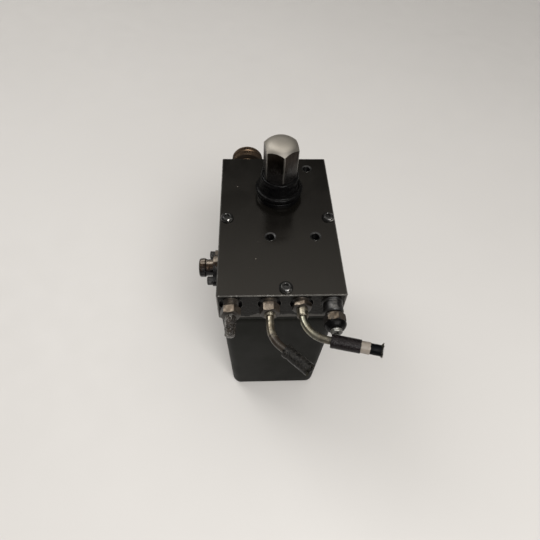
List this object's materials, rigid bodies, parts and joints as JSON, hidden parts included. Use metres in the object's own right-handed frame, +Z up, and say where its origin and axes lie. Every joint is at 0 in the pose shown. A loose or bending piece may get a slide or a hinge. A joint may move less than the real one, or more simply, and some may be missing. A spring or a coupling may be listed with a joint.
{
  "type": "hydraulic power block with solenoid directional valve",
  "caption": "Black valve block on a tapered oil tank, with a hex drive spindle, front tube ports, a side connector and a rear filler cap.",
  "frame": {"origin": "centre of the tank's flat bottom face", "axes": "+Z up along the drive spindle, -Y towards the tube ports, +X to the right"},
  "size_m": [0.1376, 0.2419, 0.2471],
  "materials": {
    "black_block": "semi-gloss black anodised aluminium, lightly worn",
    "tank_plastic": "matt black moulded tank",
    "rubber_black": "black rubber, greasy",
    "brass_insert": "turned brass",
    "black_screw": "black oxide steel",
    "bright_steel": "turned steel with oily film",
    "bronze": "plain bearing bronze",
    "machined_steel": "ground steel",
    "machined_aluminium": "machined aluminium",
    "seal_plastic": "natural engineering plastic",
    "zinc_steel": "zinc plated steel, dull",
    "spring_steel": "spring wire",
    "coil_plastic": "moulded coil",
    "lead_insulation": "insulated wire",
    "bronze_brown": "brown tarnished bronze",
    "zinc_brown": "brownish zinc plated steel",
    "zinc_yellow": "yellow zinc plated steel tube",
    "hose_rubber": "scuffed hose rubber",
    "hose_sleeve": "dark shrink sleeve",
    "white_band": "white hose layer",
    "clear_cap": "dirty translucent plastic cap"
  },
  "bodies": {
    "housing": {"block_gasket": "rubber_black", "cartridge_body": "zinc_steel", "cartridge_seals": "rubber_black", "coil_leads": "lead_insulation", "coil_nut": "zinc_steel", "connector_flange": "bronze_brown", "connector_insert": "seal_plastic", "connector_pins": "brass_insert", "connector_screws": "black_screw", "core_tube": "machined_steel", "cover_screws": "black_screw", "delivery_spring": "spring_steel", "dust_cap_1": "clear_cap", "filler_neck": "bronze_brown", "fitting_4_adapter": "zinc_steel", "fitting_4_cap": "rubber_black", "fitting_4_nut": "zinc_brown", "fitting_4_tube": "zinc_steel", "gland_flange": "black_block", "hose_core_3": "hose_rubber", "hose_liner_3": "white_band", "hose_sleeve_3": "hose_sleeve", "hose_stub_2": "hose_rubber", "port_stub_1": "zinc_steel", "port_tube_2": "zinc_yellow", "port_tube_3": "zinc_yellow", "pump_barrel": "machined_aluminium", "pump_plug": "zinc_steel", "pump_screws": "black_screw", "relief_adjuster": "zinc_steel", "relief_body": "zinc_steel", "relief_locknut": "zinc_steel", "relief_spring": "spring_steel", "shaft_seal": "rubber_black", "solenoid_coil": "coil_plastic", "spindle_bushes": "bronze", "spool_spring": "spring_steel", "suction_pipe": "seal_plastic", "suction_seat": "bronze", "suction_strainer": "brass_insert", "tank": "tank_plastic", "tank_inserts": "brass_insert", "tube_sleeves": "zinc_steel", "union_nuts": "zinc_brown", "valve_block": "black_block"},
    "spindle": {"drive_spindle": "bright_steel", "dust_boot": "rubber_black", "eccentric_crank": "machined_steel", "crank_dowel": "machined_steel", "crank_roller": "bronze"},
    "plunger": {"pump_plunger": "machined_steel", "plunger_seal": "seal_plastic"},
    "suction_valve": {"suction_ball": "machined_steel"},
    "delivery_valve": {"delivery_ball": "machined_steel"},
    "relief_valve": {"relief_poppet": "machined_steel"},
    "spool": {"valve_spool": "machined_steel", "armature": "machined_steel"},
    "cap_carrier": {"filler_seal": "rubber_black"},
    "cap": {"filler_cap": "bronze_brown"},
    "plug_ring": {"connector_ring": "bronze_brown"}
  },
  "joints": [
    {"name": "spindle_turn", "type": "hinge", "parent": "housing", "child": "spindle", "pos_m": [0.0024, 0.0307, 0.19], "axis": [0, 0, 1], "range_deg": [-30, 30]},
    {"name": "plunger_stroke", "type": "slide", "parent": "housing", "child": "plunger", "axis": [0, 1, 0], "range_m": [-0.00402, 0.00402]},
    {"name": "suction_ball_lift", "type": "slide", "parent": "housing", "child": "suction_valve", "axis": [0, 0, 1], "range_m": [0, 0.0012]},
    {"name": "delivery_ball_lift", "type": "slide", "parent": "housing", "child": "delivery_valve", "axis": [0, 0, 1], "range_m": [0, 0.0012], "stiffness_N_per_m": 5, "springref_m": -0.004, "deforming": ["delivery_spring"]},
    {"name": "relief_poppet_lift", "type": "slide", "parent": "housing", "child": "relief_valve", "axis": [0, 0, -1], "range_m": [0, 0.0015], "stiffness_N_per_m": 40, "springref_m": -0.003, "deforming": ["relief_spring"]},
    {"name": "spool_shift", "type": "slide", "parent": "housing", "child": "spool", "axis": [0, 0, -1], "range_m": [0, 0.0025], "stiffness_N_per_m": 200, "springref_m": -0.0045, "deforming": ["spool_spring"]},
    {"name": "cap_travel", "type": "slide", "parent": "housing", "child": "cap_carrier", "axis": [0, 1, 0], "range_m": [0, 0.0061]},
    {"name": "cap_turn", "type": "hinge", "parent": "cap_carrier", "child": "cap", "pos_m": [-0.026, 0.095, 0.173], "axis": [0, 1, 0], "range_deg": [0, 1080]},
    {"name": "plug_ring_turn", "type": "hinge", "parent": "housing", "child": "plug_ring", "pos_m": [-0.063, -0.0408, 0.174], "axis": [-1, 0, 0], "range_deg": [0, 60]}
  ],
  "couplings": [
    {"joint": "plunger_stroke", "follows": "spindle_turn", "m_per_rad": 0.0076394},
    {"joint": "cap_travel", "follows": "cap_turn", "m_per_rad": 0.00031831}
  ]
}
